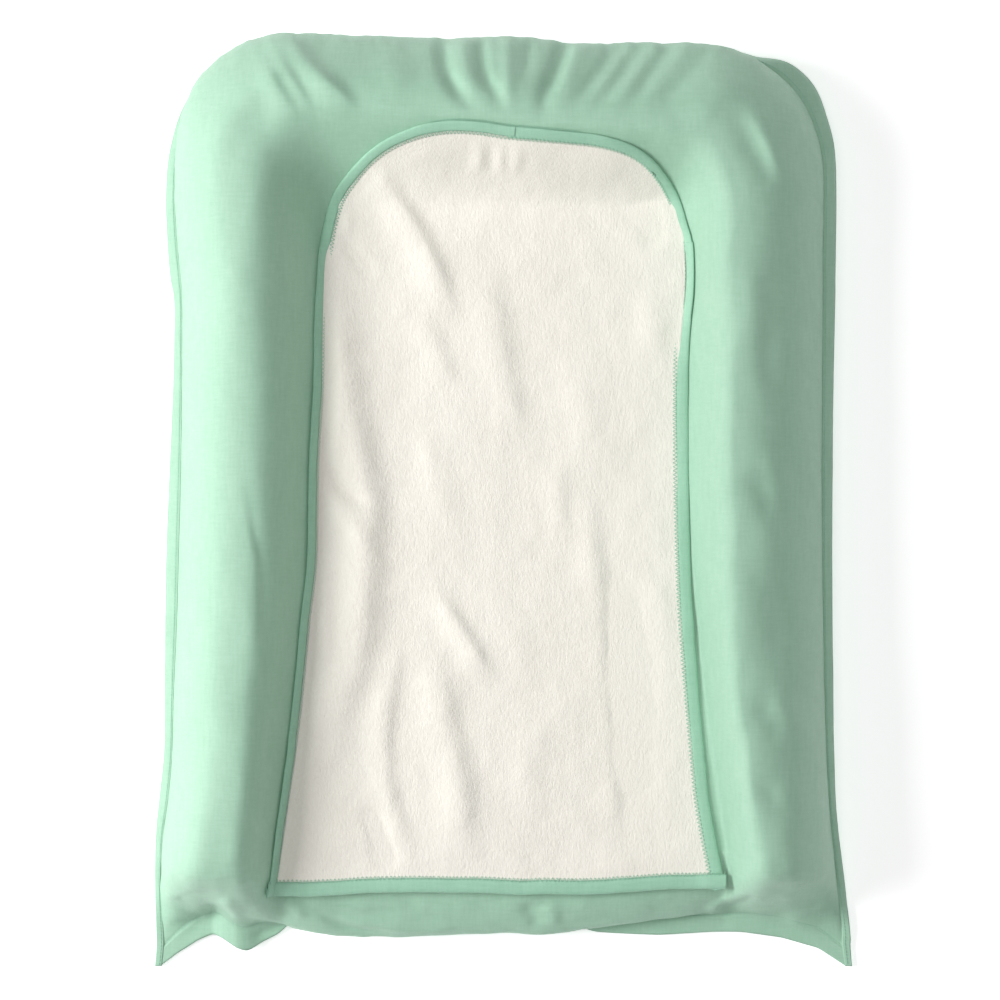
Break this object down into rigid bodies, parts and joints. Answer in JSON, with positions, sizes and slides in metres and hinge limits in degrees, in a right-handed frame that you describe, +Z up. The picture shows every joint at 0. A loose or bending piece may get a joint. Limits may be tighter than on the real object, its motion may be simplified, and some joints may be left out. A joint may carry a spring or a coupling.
{
  "type": "changing pad",
  "caption": "Baby changing pad: foam mat with raised side and head rolls in a soft cotton cover with an open foot end and a bound towel stitched on at its head.",
  "frame": {"origin": "on the floor, under the middle of the pad", "axes": "+Y towards the head end, +Z up, +X to the right seen from above with the head end up"},
  "size_m": [0.536, 0.7163, 0.0925],
  "materials": {
    "cotton": "fine plain weave cotton, mint green",
    "binding_cotton": "folded cotton binding, mint green",
    "thread": "sewing thread, mint green",
    "fleece": "short-pile fleece, cream",
    "foam": "open-cell foam",
    "vinyl": "soft wipeable film, white"
  },
  "bodies": {
    "cover": {"cover_front_panel": "cotton", "cover_back_panel": "cotton", "seam_flange": "cotton", "flange_topstitch": "thread", "front_hem": "cotton", "front_hem_stitch": "thread", "back_hem": "cotton", "back_hem_stitch": "thread", "head_tack_stitch": "thread"},
    "towel": {"towel_sheet": "fleece", "binding_left": "binding_cotton", "binding_arch_right": "binding_cotton", "binding_right": "binding_cotton", "binding_foot": "binding_cotton", "zigzag_sides": "thread", "zigzag_foot": "thread"},
    "mat": {"mat_base_foam": "foam", "roll_foam_left": "foam", "roll_foam_right": "foam", "roll_foam_head": "foam", "mat_skin_upper": "vinyl", "mat_skin_lower": "vinyl"}
  },
  "joints": [
    {"name": "towel_turn", "type": "hinge", "parent": "cover", "child": "towel", "pos_m": [0, 0.2844, 0.091], "axis": [-1, 0, 0], "range_deg": [0, 110]},
    {"name": "mat_slide", "type": "slide", "parent": "cover", "child": "mat", "axis": [0, -1, 0], "range_m": [0, 0.7], "deforming": ["cover_front_panel", "front_hem", "front_hem_stitch", "roll_foam_head", "mat_skin_upper"]}
  ]
}
